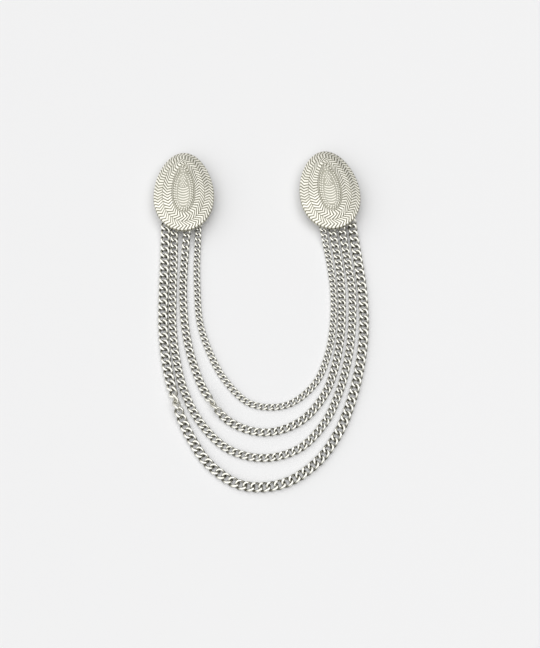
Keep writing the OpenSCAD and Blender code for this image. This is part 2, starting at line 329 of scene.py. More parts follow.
@dataclass
class EggOutline:
    """An egg-shaped outline, whose angle runs clockwise from its narrow top.

    Attributes:
        width: Its width.
        height: Its height.
        taper: How much narrower its top is than its foot, as a share of the width.
    """

    width: float
    height: float
    taper: float = 0.12

    def points(self, angles: np.ndarray) -> np.ndarray:
        """Points of the outline at some angles, one row each."""
        x = self.width / 2 * np.sin(angles) * (1 - self.taper * np.cos(angles))
        return np.stack([x, self.height / 2 * np.cos(angles)], axis=-1)

    def running_length(self, angles: np.ndarray) -> np.ndarray:
        """Length of the outline up to each of some rising angles, from the first."""
        steps = np.linalg.norm(np.diff(self.points(angles), axis=0), axis=1)
        return np.concatenate([[0.0], np.cumsum(steps)])

    def length(self) -> float:
        """Length of the whole outline."""
        return float(self.running_length(FULL_TURN)[-1])

    def angles_at(self, shares: np.ndarray) -> np.ndarray:
        """Angles at some shares of the outline's length, counted from its top."""
        run = self.running_length(FULL_TURN)
        return np.interp(shares, run / run[-1], FULL_TURN)


@dataclass(frozen=True)
class StrokeRow:
    """A row of slanted strokes round the egg, folded into chevrons.

    Attributes:
        start: Inset at which the row starts.
        fold: Inset at which the strokes change their lean.
        end: Inset at which the row ends.
        count: Strokes in the row.
        first_lean: Lean before the fold, counter-clockwise, in degrees.
        second_lean: Lean after the fold, clockwise, in degrees: its mean, and what it gains with the
            cosine and the sine of the angle from the egg's top.
        slow_waver: Waves round the egg in which the strokes stray, and how far, as a share of a stroke.
        quick_waver: The same for a quicker wave.
        lowest: Height of the lowest stroke, as a share of the highest.
        groove_power: How narrow the grooves are: the more, the narrower.
    """

    start: float
    fold: float
    end: float
    count: int
    first_lean: float
    second_lean: Triple = (0.0, 0.0, 0.0)
    slow_waver: tuple[int, float] = (3, 0.05)
    quick_waver: tuple[int, float] = (7, 0.04)
    lowest: float = 0.85
    groove_power: float = 4.0

    def relief(self, depth: np.ndarray, shares: np.ndarray, angles: np.ndarray, length: float) -> np.ndarray:
        """Relief of the strokes on one ring of points.

        Args:
            depth: Inset of each point.
            shares: Shares of the outline's length.
            angles: Angles of the same points.
            length: The outline's length.

        Returns:
            Shares of the relief's height, from 0 in a groove to 1 on a ridge.
        """
        mean, by_cosine, by_sine = self.second_lean
        lean = np.radians(mean + by_cosine * np.cos(angles) + by_sine * np.sin(angles))
        before = np.clip(depth, self.start, self.fold) - self.start
        after = np.clip(depth, self.fold, self.end) - self.fold
        shift = np.tan(lean) * after - math.tan(math.radians(self.first_lean)) * before
        slow = 2 * math.pi * self.slow_waver[0] * shares + self.count
        quick = 2 * math.pi * self.quick_waver[0] * shares
        waver = self.slow_waver[1] * np.sin(slow) + self.quick_waver[1] * np.sin(quick)
        phase = self.count * (shares - shift / length) + waver
        heights = np.random.default_rng(self.count).uniform(self.lowest, 1.0, self.count)
        uneven = heights[np.floor(phase + 0.5).astype(int) % self.count]
        return uneven * (1 - (0.5 - 0.5 * np.cos(2 * math.pi * phase)) ** self.groove_power)


@dataclass(frozen=True)
class BarPanel:
    """The middle panel of a plate: smile-shaped bars in its broad foot, and rows of small beads above them.

    Attributes:
        width: Its width.
        height: Its height.
        taper: How much narrower its top is than its foot, as a share of the width.
        up: Height of its middle above the plate's middle.
        edge: How far inside its outline the bars start, and where they are whole.
        bars: Bars in the stack.
        bars_share: Share of the panel's height that the bars fill.
        bar_bend: How fast a bar rises with the square of the distance from its middle.
        first_bar: Height of the lowest bar above the panel's foot.
        bar_half: Half a bar's width, as a share of the distance from bar to bar.
        row_step: Distance from row to row of the small beads above the bars.
        row_half: Half the beads that a row can hold.
        bead_share: Distance from bead to bead in a row, as a share of the plate's bead pitch.
        bead_inset: How far inside the panel the middles of its beads stay.
        frame_room: How much wider and higher than the panel the line of beads round it is.
    """

    width: float = 5.0
    height: float = 16.0
    taper: float = 0.3
    up: float = -0.9
    edge: Pair = (-0.02, 0.12)
    bars: int = 7
    bars_share: float = 0.58
    bar_bend: float = 0.17
    first_bar: float = 0.95
    bar_half: float = 0.4
    row_step: float = 0.9
    row_half: int = 4
    bead_share: float = 0.8
    bead_inset: float = 0.25
    frame_room: Pair = (1.4, 1.6)

    def outside(self, xy: np.ndarray) -> np.ndarray:
        """About how far points lie outside the panel, negative inside it.

        Args:
            xy: Points on the plate, one row each.

        Returns:
            The distances.
        """
        x, y = xy[:, 0], xy[:, 1] - self.up
        half_h = self.height / 2
        half_w = self.width / 2 * (1 - self.taper * np.clip(y / half_h, -1, 1))
        radius = np.maximum(np.hypot(x / half_w, y / half_h), TINY)
        slope = np.hypot(x / half_w ** 2, y / half_h ** 2) / radius
        return (radius - 1) / np.maximum(slope, TINY)

    def relief(self, xy: np.ndarray) -> np.ndarray:
        """Relief of the stacked bars.

        Args:
            xy: Points on the plate, one row each.

        Returns:
            Shares of the relief's height.
        """
        x, up = xy[:, 0], xy[:, 1] - self.up + self.height / 2
        pitch = self.height * self.bars_share / self.bars
        relief = np.zeros(len(x))
        for k in range(self.bars):
            line = self.first_bar + k * pitch + self.bar_bend * x ** 2
            relief = np.maximum(relief, 1 - ((up - line) / (self.bar_half * pitch)) ** 2)
        return smooth_step(-self.outside(xy), *self.edge) * np.clip(relief, 0, 1)

    def frame_beads(self, pitch: float) -> np.ndarray:
        """Middles of the beads round the panel.

        Args:
            pitch: The plate's distance from bead to bead.

        Returns:
            The middles, one row each.
        """
        line = EggOutline(self.width + self.frame_room[0], self.height + self.frame_room[1])
        count = round(line.length() / pitch)
        return line.points(line.angles_at(np.arange(count) / count)) + [0, self.up]

    def top_beads(self, pitch: float) -> np.ndarray:
        """Middles of the small beads above the bars, in rows that bend as the bars do.

        Args:
            pitch: The plate's distance from bead to bead.

        Returns:
            The middles, one row each.
        """
        foot = self.up - self.height / 2
        columns = np.arange(-self.row_half, self.row_half)
        heights = np.arange(self.height * self.bars_share + self.row_step, self.height, self.row_step)
        places = []
        for row, height in enumerate(heights):
            x = (columns + 0.5 * (row % 2)) * pitch * self.bead_share
            points = np.column_stack([x, height + foot + self.bar_bend * x ** 2])
            places.append(points[self.outside(points) < -self.bead_inset])
        return np.concatenate(places)


@dataclass
class Ring:
    """One closed ring of a shell.

    Attributes:
        points: Its points, one row each.
        hollow: How hollow each of them lies, which sets how much painted shade darkens it.
    """

    points: np.ndarray
    hollow: np.ndarray


@dataclass
class Plate:
    """One brooch plate: a domed egg with cast relief, and the loops soldered to its back.

    An inset is a distance inwards from the plate's outline.

    Attributes:
        side: Which brooch it is.
        at: Its middle on the floor plan.
        turn: Its turn in degrees, positive with its top leaning left.
        loops: Where each chain's loop stands, in degrees clockwise from the egg's top.
        width: Width of the egg.
        height: Height of the egg.
        wall: Thickness of the plate.
        dome_rise: How much higher its middle is than its rim.
        lift: Height of its rim's underside above the floor.
        rise: Height of the relief.
        notch_depth: How far a groove notches the edge inwards.
        notch_drop: How far it notches the edge downwards.
        edge_profile: Rings up the edge: inset, height, and the share of a notch's depth there.
        rim: Inset at which the outer row of chevrons starts.
        edge_band: Width of the outer row before its fold.
        band: Width of the outer row after its fold, and of the inner row on each side of its fold.
        outer_strokes: Strokes in the outer row.
        outer_leans: Its leans before and after the fold, as StrokeRow has them.
        inner_strokes: Strokes in the inner row.
        inner_leans: Its leans before and after the fold, as StrokeRow has them.
        seam: Depth of the seam between the two rows, as a share of the relief.
        seam_width: About half the seam's width.
        row_fade: Width over which the inner row falls to the thin ring.
        ring: Width of the thin ring inside the rows.
        ring_height: Its height, as a share of the relief.
        ring_crown: How round its top is, from 0 for flat to 1.
        ring_row: Width of the row of small strokes inside the ring.
        ring_strokes: Strokes in that row.
        ring_lean: Their lean, in degrees.
        stroke_crown: How round their tops are, from 0 for flat to 1.
        point_push: How much deeper the pattern lies at the egg's top.
        point_reach: Angle from the top over which it does, in degrees.
        bead_radius: Radius of the beads.
        bead_pitch: Distance from bead to bead.
        bead_start: From the small strokes to the middles of the first beads.
        bead_spread: How much nearer to the strokes a bead may still lie.
        panel_room: Distance that the beads of the field keep from the panel.
        panel: The middle panel.
        ground: Height of the ground between the beads, as a share of the relief.
        loop_wire: Thickness of a loop's wire.
        loop_inset: Inset at which the loops stand.
        loop_steps: Steps round a loop.
        loop_sides: Points round its wire.
        hole_play: Room round the chain's wire in its loop.
        sink: How far a loop's peg reaches into the plate.
        samples: Points of a ring for each stroke of the outer row.
        row_step: Distance from ring to ring of the front.
        core_gap: From the rows of chevrons to where the front's rings start to shrink evenly.
        core_steps: Rings from there to the middle.
        core_hole: Size of the last one, as a share of the first.
        back_shares: Insets of the back's rings, as shares of the width.
        lip: The lip behind the edge: insets as shares of the rim, and heights.
        back_thinning: How many times fewer points the back's rings have.
        core_thinning: How many times fewer points the rings inside the chevrons have.
        plain_hollow: How hollow the plain back and the edge count, which sets how much painted shade darkens
            them.
        middle_hollow: The same for the very middle of the front.
        bead_places: Middles of the beads, one row each.
    """

    side: Side
    at: Point
    turn: float
    loops: tuple[float, ...]
    width: float = 26.6
    height: float = 39.8
    wall: float = 1.2
    dome_rise: float = 2.0
    lift: float = PLATE_LIFT
    rise: float = 0.28
    notch_depth: float = 0.16
    notch_drop: float = 0.12
    edge_profile: tuple[Triple, ...] = ((0.12, 0.06, 0.0), (0.03, 0.2, 0.2), (0.0, 0.4, 0.6),
                                        (0.0, 0.75, 1.0), (0.04, 1.0, 1.0), (0.1, 1.2, 1.0))
    rim: float = 0.6
    edge_band: float = 1.3
    band: float = 2.1
    outer_strokes: int = 63
    outer_leans: Leans = (45.0, (27.0, -21.0, 12.0))
    inner_strokes: int = 46
    inner_leans: Leans = (48.0, (33.0, 0.0, 14.0))
    seam: float = 0.5
    seam_width: float = 0.1
    row_fade: float = 0.15
    ring: float = 0.5
    ring_height: float = 0.8
    ring_crown: float = 0.7
    ring_row: float = 1.1
    ring_strokes: int = 40
    ring_lean: float = 25.0
    stroke_crown: float = 0.5
    point_push: float = 1.3
    point_reach: float = 22.0
    bead_radius: float = 0.48
    bead_pitch: float = 1.22
    bead_start: float = 0.6
    bead_spread: float = 0.3
    panel_room: float = 1.4
    panel: BarPanel = BarPanel()
    ground: float = 0.45
    loop_wire: float = 0.8
    loop_inset: float = 2.0
    loop_steps: int = 40
    loop_sides: int = 14
    hole_play: float = 0.22
    sink: float = 0.3
    samples: int = 8
    row_step: float = 0.1
    core_gap: float = 2.2
    core_steps: int = 64
    core_hole: float = 0.02
    back_shares: tuple[float, ...] = (0.44, 0.4, 0.34, 0.28, 0.22, 0.16, 0.11, 0.07)
    lip: tuple[Pair, ...] = ((1.0, 0.02), (0.35, 0.0))
    back_thinning: int = 4
    core_thinning: int = 2
    plain_hollow: float = 0.35
    middle_hollow: float = 0.5
    bead_places: np.ndarray = field(init=False)

    def __post_init__(self) -> None:
        """Lays out the beads once."""
        self.bead_places = self.beads()

    @property
    def inner_start(self) -> float:
        """Inset at which the inner row of chevrons starts."""
        return self.rim + self.edge_band + self.band

    @property
    def bands_end(self) -> float:
        """Inset at which the chevrons end."""
        return self.inner_start + 2 * self.band

    @property
    def core_inset(self) -> float:
        """Inset at which the front's rings start to shrink evenly."""
        return self.bands_end + self.core_gap

    @property
    def fine(self) -> int:
        """Points in a ring of the front, where it has the chevrons."""
        return self.outer_strokes * self.samples

    @property
    def rows(self) -> tuple[StrokeRow, StrokeRow, StrokeRow]:
        """The two rows of chevrons, and the small strokes inside the thin ring."""
        ring_end = self.bands_end + self.ring
        return (StrokeRow(self.rim, self.rim + self.edge_band, self.inner_start,
                          self.outer_strokes, *self.outer_leans),
                StrokeRow(self.inner_start, self.inner_start + self.band, self.bands_end,
                          self.inner_strokes, *self.inner_leans),
                StrokeRow(ring_end, ring_end + self.ring_row, ring_end + self.ring_row,
                          self.ring_strokes, self.ring_lean))

    def outline(self, inset: float) -> EggOutline:
        """The plate's outline, moved inwards."""
        return EggOutline(self.width - 2 * inset, self.height - 2 * inset)

    def dome(self, inset: float) -> float:
        """Height of the dome at an inset, above the rim's underside."""
        return self.dome_rise * (1 - (1 - inset / (self.width / 2)) ** 2)

    def depth_at(self, inset: float, angles: np.ndarray) -> np.ndarray:
        """Inset at which the pattern of some points lies: deeper at the top, where the inner rows point up.

        Args:
            inset: The points' own inset.
            angles: Their angles.

        Returns:
            The pattern's insets.
        """
        from_top = np.degrees(np.minimum(angles, 2 * math.pi - angles))
        push = self.point_push * np.exp(-(from_top / self.point_reach) ** 2)
        return inset + push * smooth_step(np.full(len(angles), inset), self.inner_start, self.bands_end)

    def relief(self, inset: float, shares: np.ndarray, angles: np.ndarray, xy: np.ndarray) -> np.ndarray:
        """The whole relief on one ring of points.

        Args:
            inset: The ring's inset.
            shares: Shares of the outline's length.
            angles: Angles of the same points.
            xy: The points themselves, one row each.

        Returns:
            Shares of the relief's height.
        """
        depth = self.depth_at(inset, angles)
        length = self.outline(inset).length()
        outer, inner, small = (row.relief(depth, shares, angles, length) for row in self.rows)
        chevrons = np.where(depth < self.inner_start, outer, inner)
        chevrons *= 1 - self.seam * np.exp(-((depth - self.inner_start) / self.seam_width) ** 2)
        chevrons *= smooth_step(self.bands_end - depth, 0.0, self.row_fade)
        ring = np.clip((depth - self.bands_end) / self.ring, 0, 1)
        ring = self.ring_height * np.sin(math.pi * ring) ** self.ring_crown
        across = np.clip((depth - self.rows[2].start) / self.ring_row, 0, 1)
        small = small * np.sin(math.pi * across) ** self.stroke_crown
        return np.maximum(np.maximum(chevrons, ring), np.maximum(small, self.middle(xy, depth)))

    def beads(self) -> np.ndarray:
        """Lays out the beads in the field, round the panel and in its top.

        Returns:
            Their middles, one row each.
        """
        places = []
        first = self.rows[2].end + self.bead_start
        for inset in np.arange(first - self.bead_pitch, self.width / 2, self.bead_pitch):
            outline = self.outline(float(inset))
            count = round(outline.length() / self.bead_pitch)
            angles = outline.angles_at((np.arange(count) + 0.5) / count)
            points = outline.points(angles)
            clear = self.panel.outside(points) > self.panel_room
            clear &= self.depth_at(float(inset), angles) > first - self.bead_spread
            places.append(points[clear])
        places += [self.panel.frame_beads(self.bead_pitch), self.panel.top_beads(self.bead_pitch)]
        return np.concatenate(places)

    def middle(self, xy: np.ndarray, depth: np.ndarray) -> np.ndarray:
        """Relief inside the rings: the beads, and the panel with its bars.

        Args:
            xy: Points on the plate, one row each.
            depth: Their insets.

        Returns:
            Shares of the relief's height.
        """
        relief = np.full(len(xy), self.ground)
        for bead in self.bead_places:
            gap = np.sum((xy - bead) ** 2, axis=1) / self.bead_radius ** 2
            relief = np.maximum(relief, np.sqrt(np.clip(1 - gap, 0, 1)))
        return np.maximum(relief, self.panel.relief(xy)) * (depth > self.rows[2].end)

    def spaced(self, inset: float, count: int) -> tuple[np.ndarray, np.ndarray, np.ndarray]:
        """Evenly spaced points round the outline at an inset.

        Args:
            inset: The inset.
            count: How many points.

        Returns:
            Their shares of the outline's length, their angles, and the points, one row each.
        """
        shares = np.arange(count) / count
        outline = self.outline(inset)
        angles = outline.angles_at(shares)
        return shares, angles, outline.points(angles)

    def back_rings(self) -> list[Ring]:
        """Plain rings from the middle of the back out to its lip.

        Returns:
            The rings, in that order.
        """
        count = self.fine // self.back_thinning
        profile = [(self.width * share, self.dome(self.width * share)) for share in self.back_shares]
        profile += [(self.rim * share, height) for share, height in self.lip]
        rings = []
        for inset, height in profile:
            points = np.column_stack([self.spaced(inset, count)[2], np.full(count, height)])
            rings.append(Ring(points, np.full(count, self.plain_hollow)))
        return rings

    def edge_rings(self) -> list[Ring]:
        """Rings up the edge, which the grooves of the outer row notch.

        Returns:
            The rings, from the lip to the front.
        """
        rings = []
        for inset, height, notch in self.edge_profile:
            shares, angles, xy = self.spaced(inset, self.fine)
            length = self.outline(inset).length()
            deep = notch * (1 - self.rows[0].relief(np.full(self.fine, inset), shares, angles, length))
            xy = xy * (1 - 2 * self.notch_depth * deep / self.width)[:, None]
            z = height * (1 - self.notch_drop * deep / self.wall)
            # Painted shade: the edge darkens in the notches, as deep as they go.
            rings.append(Ring(np.column_stack([xy, z]), self.plain_hollow + (1 - self.plain_hollow) * deep))
        return rings

    def front_ring(self, xy: np.ndarray, dome: float, relief: np.ndarray) -> Ring:
        """A ring of the front, raised by the dome and the relief, with painted shade where the relief is
        low.

        Args:
            xy: Its points, one row each.
            dome: Height of the dome there.
            relief: Shares of the relief's height.

        Returns:
            The ring.
        """
        return Ring(np.column_stack([xy, self.wall + dome + self.rise * relief]), 1 - relief)

    def front_rings(self) -> list[Ring]:
        """Rings of the front with its relief, which shrink evenly inside the core inset.

        Returns:
            The rings, from the edge to the middle.
        """
        rings = []
        inner = self.fine // self.core_thinning
        for inset in np.arange(2 * self.row_step, self.core_inset, self.row_step):
            shares, angles, xy = self.spaced(float(inset), self.fine if inset < self.bands_end else inner)
            relief = self.relief(float(inset), shares, angles, xy)
            rings.append(self.front_ring(xy, self.dome(float(inset)), relief))
        core_width = self.outline(self.core_inset).width
        core = self.spaced(self.core_inset, inner)[2]
        for scale in np.linspace(1.0, self.core_hole, self.core_steps):
            relief = self.middle(core * scale, np.full(len(core), self.core_inset))
            dome = self.dome_rise * (1 - (core_width * scale / self.width) ** 2)
            rings.append(self.front_ring(core * scale, dome, relief))
        return rings

    def shell(self) -> MeshPart:
        """The plate itself, as one closed shell from the middle of its back to the middle of its front.

        Returns:
            The shell, with the underside of its rim at height 0.
        """
        rings = [*self.back_rings(), *self.edge_rings(), *self.front_rings()]
        counts = [len(ring.points) for ring in rings]
        starts = [0, *np.cumsum(counts).tolist()]
        faces: list[tuple[int, ...]] = []
        for k in range(len(rings) - 1):
            faces += stitch(starts[k + 1], counts[k + 1], starts[k], counts[k])
        last, back = starts[-2:]
        front = back + 1
        faces += [(back, i, (i + 1) % counts[0]) for i in range(counts[0])]
        faces += [(front, last + (i + 1) % counts[-1], last + i) for i in range(counts[-1])]
        middles = [[0.0, 0.0, self.dome_rise], rings[-1].points.mean(axis=0)]
        points = np.concatenate([*(ring.points for ring in rings), middles])
        hollow = np.concatenate([*(ring.hollow for ring in rings), [self.plain_hollow, self.middle_hollow]])
        return MeshPart(points, faces, hollow)

    def loop_place(self, k: int) -> np.ndarray:
        """Where a chain's loop stands.

        Args:
            k: The chain's place among the loops.

        Returns:
            The place on the floor plan.
        """
        angle = np.array([math.radians(self.loops[k])])
        local = np.append(self.outline(self.loop_inset).points(angle)[0], 0.0)
        return (rotation(Axis.Z, math.radians(self.turn)) @ local)[:2] + self.at

    def loop_parts(self, chains: list["CurbChain"]) -> list[MeshPart]:
        """The soldered loops, each with a short peg into the plate's back.

        Args:
            chains: The chains that hang from the loops, in the loops' order.

        Returns:
            The parts, in their places.
        """
        parts = []
        for k, chain in enumerate(chains):
            at = self.loop_place(k)
            to = np.array(chain.route[0 if self.side is Side.LEFT else -1]) - at
            heading = rotation(Axis.Z, math.atan2(to[1], to[0]) + math.pi / 2)
            radius = (chain.wire + self.loop_wire) / 2 + self.hole_play
            lean = chain.tip_slope
            ring = tube(circle(radius, self.loop_steps), self.loop_wire / 2, self.loop_sides)
            place = np.array([at[0], at[1], chain.loop_height])
            parts.append(ring.moved(heading @ rotation(Axis.Y, math.pi / 2 - lean), place))
            top = radius * math.cos(lean)
            reach = self.lift + self.dome(self.loop_inset) + self.sink - chain.loop_height
            ends = np.array([[0.0, 0.0, top], [0.0, 0.0, reach]])
            peg = tube(ends, self.loop_wire / 2, self.loop_sides, closed=False)
            behind = np.array([radius * math.sin(lean), 0.0, 0.0])
            parts.append(peg.moved(heading, place - heading @ behind))
        return parts

    def build(self, chains: list["CurbChain"]) -> bpy.types.Object:
        """Builds the plate with its loops, in place of its node.

        Args:
            chains: The chains that hang from it.

        Returns:
            The piece.
        """
        place = np.array([*self.at, self.lift])
        shell = self.shell().moved(rotation(Axis.Z, math.radians(self.turn)), place)
        piece = make_piece(f"brooch_{self.side.value}", [shell, *self.loop_parts(chains)])
        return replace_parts(piece, f"plate_{self.side.value}")

    def dress(self, piece: bpy.types.Object, finish: bpy.types.Material) -> None:
        """Gives the plate its finish."""
        piece.data.materials.append(finish)


def circle(radius: float, count: int) -> np.ndarray:
    """Points of a flat circle about the origin, one row each."""
    angles = np.arange(count) * 2 * math.pi / count
    return np.column_stack([radius * np.cos(angles), radius * np.sin(angles), np.zeros(count)])


def tube(line: np.ndarray, radius: float, sides: int, closed: bool = True) -> MeshPart:
    """A round wire along a line.

    Args:
        line: Points of its middle line.
        radius: Radius of the wire.
        sides: Points round the wire.
        closed: Whether the line is a ring.

    Returns:
        The wire.
    """
    count = len(line)
    if closed:
        along = np.roll(line, -1, axis=0) - np.roll(line, 1, axis=0)
    else:
        along = np.gradient(line, axis=0)
    along /= np.linalg.norm(along, axis=1)[:, None]
    upright = np.array([0.0, 0.0, 1.0]) if abs(along[0][2]) < STEEP else np.array([1.0, 0.0, 0.0])
    out = np.cross(along, upright)
    out /= np.linalg.norm(out, axis=1)[:, None]
    up = np.cross(out, along)
    turns = np.arange(sides) * 2 * math.pi / sides
    points = (line[:, None, :] + radius * (np.cos(turns)[None, :, None] * out[:, None, :]
                                           + np.sin(turns)[None, :, None] * up[:, None, :]))
    faces: list[tuple[int, ...]] = []
    for i in range(count if closed else count - 1):
        faces += stitch(((i + 1) % count) * sides, sides, i * sides, sides)
    if not closed:
        faces.append(tuple(range(sides)))
        faces.append(tuple(reversed(range((count - 1) * sides, count * sides))))
    # Painted shade on the side of the wire that faces into its ring.
    hollow = np.clip(-np.cos(turns), 0, 1) ** 2
    return MeshPart(points.reshape(-1, 3), faces, np.tile(hollow, count))


@dataclass
class Course:
    """A smooth line through chosen points on the floor, read by its running length.

    Attributes:
        points: The chosen points.
        steps: Samples between two of them.
        line: The sampled points, one row each.
        run: Running length at each of them.
    """

    points: list[Point]
    steps: int = 24
    line: np.ndarray = field(init=False)
    run: np.ndarray = field(init=False)

    def __post_init__(self) -> None:
        """Samples the line once."""
        p = np.array(self.points)
        before = np.vstack([p[:1], p[:-2]])
        after = np.vstack([p[2:], p[-1:]])
        t = (np.arange(self.steps) / self.steps)[None, :, None]
        a, b, c, d = (q[:, None, :] for q in (before, p[:-1], p[1:], after))
        curve = 0.5 * (2 * b + (c - a) * t + (2 * a - 5 * b + 4 * c - d) * t ** 2
                       + (3 * b - a - 3 * c + d) * t ** 3)
        self.line = np.vstack([curve.reshape(-1, 2), p[-1:]])
        steps = np.linalg.norm(np.diff(self.line, axis=0), axis=1)
        self.run = np.concatenate([[0.0], np.cumsum(steps)])

    @property
    def length(self) -> float:
        """The whole running length."""
        return float(self.run[-1])

    def at(self, s: float) -> np.ndarray:
        """The point at a running length."""
        return np.array([np.interp(s, self.run, self.line[:, 0]), np.interp(s, self.run, self.line[:, 1])])


@dataclass(frozen=True)
class Twist:
    """A place where a chain turns over by half a turn, and lies on its other face after it.

    Attributes:
        middle: Where it is, as a share of the chain's length from the left.
        reach: Length over which most of the turn comes, on each side of its middle.
    """

    middle: float
    reach: float

    def turn(self, s: float, total: float) -> float:
        """Turn in radians at a running length of the chain."""
        return math.pi / 2 * (1 + math.tanh((s - self.middle * total) / self.reach))


@dataclass
class CurbChain:
    """A curb chain of twisted oval links, from its loop on the left plate to the one on the right.

    Attributes:
        rank: The word that ends its node's name.
        wire: Diameter of its wire.
        width: Width of a link.
        pitch: Distance from link to link, before it is fitted to the route.
        route: Points of the route on the floor, as listed.
        twists: Places where the chain turns over.
        play: Room between the wires of two linked links, along the chain.
        twist_share: How far a link's wire rises and falls, as a share of its diameter.
        node_twist_share: The same in the chain's node.
        node_stretches: Straight stretches in a link of the node.
        lift: Height of the plates' undersides above the floor.
        rim_gap: Clearance between a plate's underside and the chain at its loop.
        drop_run: Length over which the chain comes down from its loop to the floor.
        ring_sides: Steps round a link.
        wire_sides: Points round its wire.
        flat_share: Depth over which the grinding rounds a link off, as a share of the wire.
        ground_share: How much of that depth it takes away.
        inner_shade: How much painted shade the inside of a link gets.
        dip_shade: The same where its wire dips under the next link.
        dip_band: Depth over which that comes on, as a share of the wire.
        low_shade: The same on its underside.
    """

    rank: str
    wire: float
    width: float
    pitch: float
    route: list[Point]
    twists: tuple[Twist, ...] = ()
    play: float = 0.16
    twist_share: float = 0.62
    node_twist_share: float = 0.7
    node_stretches: int = 10
    lift: float = PLATE_LIFT
    rim_gap: float = 0.25
    drop_run: float = 14.0
    ring_sides: int = 40
    wire_sides: int = 12
    flat_share: float = 0.3
    ground_share: float = 0.25
    inner_shade: float = 0.6
    dip_shade: float = 0.85
    dip_band: float = 0.35
    low_shade: float = 0.4

    @property
    def node_step(self) -> float:
        """Angle between the corners of a node's link, in degrees: the first is half a step off its tip."""
        return 360 / self.node_stretches

    @property
    def node_height(self) -> float:
        """Height of the chain's middle line in its node: the lowest corners are 1.5 steps off the tips."""
        return self.wire * (self.node_twist_share * math.sin(math.radians(3 * self.node_step)) + 0.5)

    @property
    def loop_height(self) -> float:
        """Height of the middle of the chain's loops."""
        return self.lift - self.rim_gap - self.node_height

    @property
    def tip_slope(self) -> float:
        """Sideways slope of the wire at a link's tip, in radians."""
        rise = 2 * self.node_twist_share * self.wire * math.sin(math.radians(self.node_step))
        return math.atan2(rise, (self.width - self.wire) * math.sin(math.radians(self.node_step / 2)))

    @property
    def rest_height(self) -> float:
        """Height of the chain's middle line where it lies on the floor."""
        return self.wire * (self.twist_share + 0.5 - self.flat_share * self.ground_share)

    def link_line(self, pitch: float) -> np.ndarray:
        """Middle line of a link's wire, along X: an oval ring that rises and falls twice.

        Args:
            pitch: Distance from link to link.

        Returns:
            Its points, one row each.
        """
        angles = np.arange(self.ring_sides) * 2 * math.pi / self.ring_sides
        half_l = (pitch + self.wire + self.play) / 2
        return np.column_stack([half_l * np.cos(angles), (self.width - self.wire) / 2 * np.sin(angles),
                                -self.twist_share * self.wire * np.sin(2 * angles)])

    def link(self, line: np.ndarray) -> MeshPart:
        """One link, ground flat above and below.

        Args:
            line: The middle line of its wire.

        Returns:
            The link, along X and about its middle.
        """
        part = tube(line, self.wire / 2, self.wire_sides)
        top = self.rest_height
        start = top - self.flat_share * self.wire
        z = part.points[:, 2]
        over = np.abs(z) - start
        pressed = start + (top - start) * np.tanh(np.clip(over, 0, None) / (top - start))
        part.points[:, 2] = np.where(over > 0, np.sign(z) * pressed, z)
        return part

    def turned(self, link: MeshPart, line: np.ndarray, roll: float) -> MeshPart:
        """A link rolled about the chain's line, with painted shade where its wire then dips and on its
        underside.

        Args:
            link: The link.
            line: The middle line of its wire.
            roll: The turn, in radians.

        Returns:
            The turned link.
        """
        # Painted shade: inside the link, where its wire dips under its neighbours, and on its underside.
        face_up = -math.cos(roll)
        band = self.dip_band * self.wire
        dip = abs(face_up) * smooth_step(face_up * np.repeat(line[:, 2], self.wire_sides), -band, band)
        low = smooth_step(face_up * link.points[:, 2], 0.0, self.rest_height)
        hollow = np.maximum(self.inner_shade * link.hollow, self.dip_shade * dip) + self.low_shade * low
        return MeshPart(link.points @ rotation(Axis.X, roll).T, link.faces, np.clip(hollow, 0, 1))

    def roll(self, s: float, total: float) -> float:
        """Turn of the chain about its own line at a running length, in radians."""
        return sum(twist.turn(s, total) for twist in self.twists)

    def place(self, link: MeshPart, course: Course, s: float) -> np.ndarray:
        """A point of the chain's middle line, which comes down from each loop and then lies on the floor.

        Args:
            link: A link, along X: how low it reaches when it is rolled gives the line's height.
            course: The chain's course on the floor plan.
            s: The running length.

        Returns:
            The point.
        """
        share = sum(0.5 + 0.5 * math.cos(math.pi * d / self.drop_run) if d < self.drop_run else 0.0
                    for d in (s, course.length - s))
        roll = self.roll(s, course.length)
        low = float(np.max(link.points[:, 1:] @ np.array([math.sin(roll), math.cos(roll)])))
        return np.append(course.at(s), low + (self.loop_height - low) * share)

    def laid(self, link: MeshPart, line: np.ndarray, course: Course, s: float, pitch: float) -> MeshPart:
        """A link in its place on the chain, with nothing below the floor.

        Args:
            link: The link, along X.
            line: The middle line of its wire.
            course: The chain's course on the floor plan.
            s: Running length at its middle.
            pitch: Distance from link to link.

        Returns:
            The link in its place.
        """
        run = self.place(link, course, s + pitch / 2) - self.place(link, course, s - pitch / 2)
        run /= np.linalg.norm(run)
        side = np.cross([0.0, 0.0, 1.0], run)
        side /= np.linalg.norm(side)
        axes = np.column_stack([run, side, np.cross(run, side)])
        body = self.turned(link, line, self.roll(s, course.length))
        body = body.moved(axes, self.place(link, course, s))
        body.points[:, 2] += max(0.0, -body.points[:, 2].min())
        return body

    def build(self, left: Plate, right: Plate, k: int) -> bpy.types.Object:
        """Builds all the links, in place of the chain's node.

        Args:
            left: The left plate.
            right: The right plate.
            k: The chain's place among the plates' loops.

        Returns:
            The piece.
        """
        course = Course([tuple(left.loop_place(k)), *self.route, tuple(right.loop_place(k))])
        room = course.length - self.wire - self.play
        count = round(room / self.pitch)
        pitch = room / count
        line = self.link_line(pitch)
        link = self.link(line)
        first = (pitch + self.wire + self.play) / 2
        links = [self.laid(link, line, course, first + i * pitch, pitch) for i in range(count)]
        log.info("%s: %d links, pitch %.2f mm, %.1f mm long", self.rank, count, pitch, course.length)
        piece = make_piece(f"curb_chain_{self.rank}", links)
        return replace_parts(piece, f"chain_{self.rank}")

    def dress(self, piece: bpy.types.Object, finish: bpy.types.Material) -> None:
        """Gives the chain its finish."""
        piece.data.materials.append(finish)


